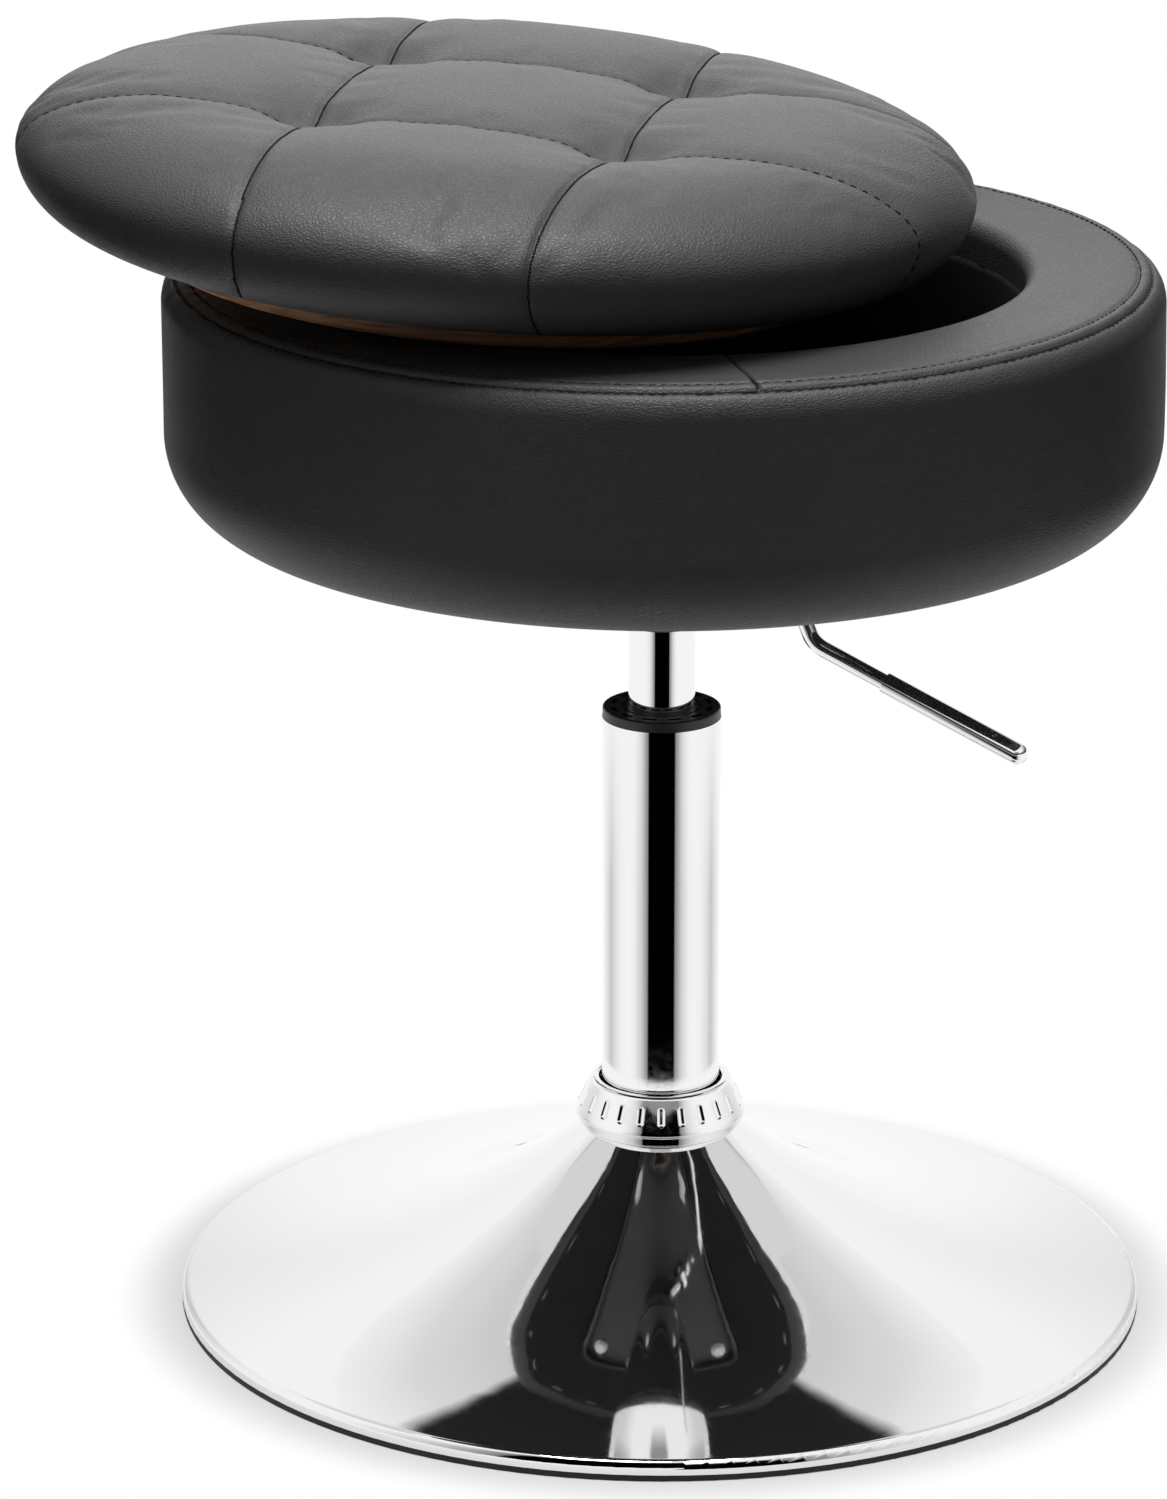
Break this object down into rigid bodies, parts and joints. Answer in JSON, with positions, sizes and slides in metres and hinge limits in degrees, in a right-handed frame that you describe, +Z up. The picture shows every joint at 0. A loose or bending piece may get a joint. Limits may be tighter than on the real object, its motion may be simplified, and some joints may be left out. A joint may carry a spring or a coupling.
{
  "type": "swivel storage stool",
  "caption": "Round padded stool with a loose tufted lid over a storage drum, on a height-adjustable swivel gas-lift column with a chromed trumpet base.",
  "frame": {"origin": "on the column's axis, at the floor under the base", "axes": "+Z up along the column; -Y towards the camera of the picture; +X to its right"},
  "size_m": [0.4702, 0.412, 0.5306],
  "materials": {
    "chrome": "polished",
    "black_rubber": "matte",
    "black_plastic": "satin",
    "steel": "satin",
    "black_paint": "satin",
    "plywood": "matte",
    "brown_board": "satin",
    "leatherette": "satin",
    "foam": "matte",
    "lining_cloth": "matte",
    "dust_cloth": "matte",
    "cord": "matte"
  },
  "bodies": {
    "base": {"base_dish": "chrome", "base_edge_ring": "black_rubber", "column_tube": "chrome", "column_shoulder": "steel", "neck_washer": "steel", "neck_ring_nut": "steel", "column_foot": "steel", "column_collar": "chrome", "column_bush": "black_plastic", "bearing_lower_race": "steel"},
    "cage": {"bearing_cage": "black_plastic", "bearing_balls": "steel"},
    "rod": {"piston_rod": "steel", "piston": "steel", "piston_seal": "black_rubber", "bearing_upper_race": "steel", "rod_buffer": "black_rubber", "clip_washer": "steel", "rod_clip": "steel"},
    "seat": {"gas_cylinder": "chrome", "rod_guide": "black_plastic", "rod_seal": "black_rubber", "valve_body": "steel", "mechanism_hub": "black_paint", "mechanism_plate": "black_paint", "lever_bracket": "black_paint", "lever_pivot_pin": "steel", "plate_bolts": "steel", "plate_washers": "steel", "tee_nuts": "steel", "drum_floor_board": "plywood", "drum_wall": "plywood", "drum_foam": "foam", "drum_side_cover": "leatherette", "drum_rim_cover": "leatherette", "storage_lining": "lining_cloth", "dust_cover": "dust_cloth"},
    "lever": {"lever_rod": "chrome", "lever_grip": "chrome"},
    "pin": {"release_pin": "steel"},
    "lid": {"lid_board": "plywood", "lid_plug": "brown_board", "lid_foam": "foam", "lid_cover": "leatherette", "lid_screws": "steel", "tuft_cords": "cord", "tuft_anchors": "steel"}
  },
  "joints": [
    {"name": "seat_swivel", "type": "hinge", "parent": "base", "child": "rod", "pos_m": [0, 0, 0.03], "axis": [0, 0, 1], "continuous": true},
    {"name": "bearing_roll", "type": "hinge", "parent": "base", "child": "cage", "pos_m": [0, 0, 0.0275], "axis": [0, 0, 1], "continuous": true},
    {"name": "seat_lift", "type": "slide", "parent": "rod", "child": "seat", "axis": [0, 0, 1], "range_m": [-0.035, 0.105]},
    {"name": "lever_press", "type": "hinge", "parent": "seat", "child": "lever", "pos_m": [0.03179, -0.0169, 0.3374], "axis": [-0.4695, -0.8829, 0], "range_deg": [0, 4.5], "stiffness_Nm_per_rad": 8},
    {"name": "pin_press", "type": "slide", "parent": "seat", "child": "pin", "axis": [0, 0, -1], "range_m": [0, 0.003]},
    {"name": "lid_lift", "type": "slide", "parent": "seat", "child": "lid", "axis": [0, 0, 1], "range_m": [0, 0.2]}
  ],
  "couplings": [
    {"joint": "bearing_roll", "follows": "seat_swivel", "ratio": 0.5},
    {"joint": "pin_press", "follows": "lever_press", "m_per_rad": 0.0365}
  ]
}
